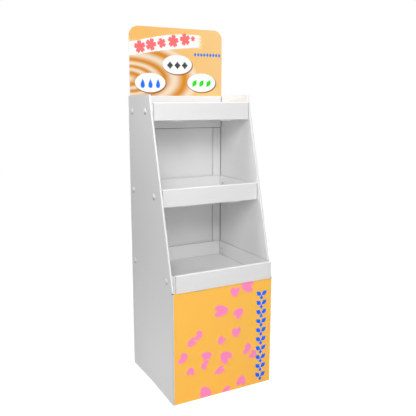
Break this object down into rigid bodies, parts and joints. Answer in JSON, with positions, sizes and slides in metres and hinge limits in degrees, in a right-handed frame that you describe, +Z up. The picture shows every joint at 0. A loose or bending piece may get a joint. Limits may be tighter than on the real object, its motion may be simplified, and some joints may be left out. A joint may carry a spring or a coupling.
{
  "type": "cardboard display stand",
  "caption": "Floor-standing corrugated cardboard display stand with stepped lipped trays between raked double-walled sides, a printed front panel and a printed header board.",
  "frame": {"origin": "centre of the bounding box's bottom face, on the floor under the stand", "axes": "+Z up, the open trays and the printed front face -Y, +X is to the right seen from the front"},
  "size_m": [0.4568, 0.4236, 1.47],
  "materials": {
    "body_board": "white coated corrugated board, printed orange on the front panel",
    "tray_board": "white coated corrugated board",
    "header_print": "matt orange print on thin board",
    "rivet_plastic": "white moulded plastic"
  },
  "bodies": {
    "root": {"body_sleeve": "body_board", "header_board": "header_print", "tray_top": "tray_board", "tray_middle": "tray_board", "tray_bottom": "tray_board", "rivet_button_top_rear_left": "rivet_plastic", "rivet_button_top_rear_right": "rivet_plastic", "rivet_socket_top_rear_left": "rivet_plastic", "rivet_socket_top_rear_right": "rivet_plastic", "rivet_button_top_front_left": "rivet_plastic", "rivet_button_top_front_right": "rivet_plastic", "rivet_socket_top_front_left": "rivet_plastic", "rivet_socket_top_front_right": "rivet_plastic", "rivet_button_middle_rear_left": "rivet_plastic", "rivet_button_middle_rear_right": "rivet_plastic", "rivet_socket_middle_rear_left": "rivet_plastic", "rivet_socket_middle_rear_right": "rivet_plastic", "rivet_button_middle_front_left": "rivet_plastic", "rivet_button_middle_front_right": "rivet_plastic", "rivet_socket_middle_front_left": "rivet_plastic", "rivet_socket_middle_front_right": "rivet_plastic", "rivet_button_bottom_rear_left": "rivet_plastic", "rivet_button_bottom_rear_right": "rivet_plastic", "rivet_socket_bottom_rear_left": "rivet_plastic", "rivet_socket_bottom_rear_right": "rivet_plastic", "rivet_button_bottom_front_left": "rivet_plastic", "rivet_button_bottom_front_right": "rivet_plastic", "rivet_socket_bottom_front_left": "rivet_plastic", "rivet_socket_bottom_front_right": "rivet_plastic"}
  },
  "joints": []
}
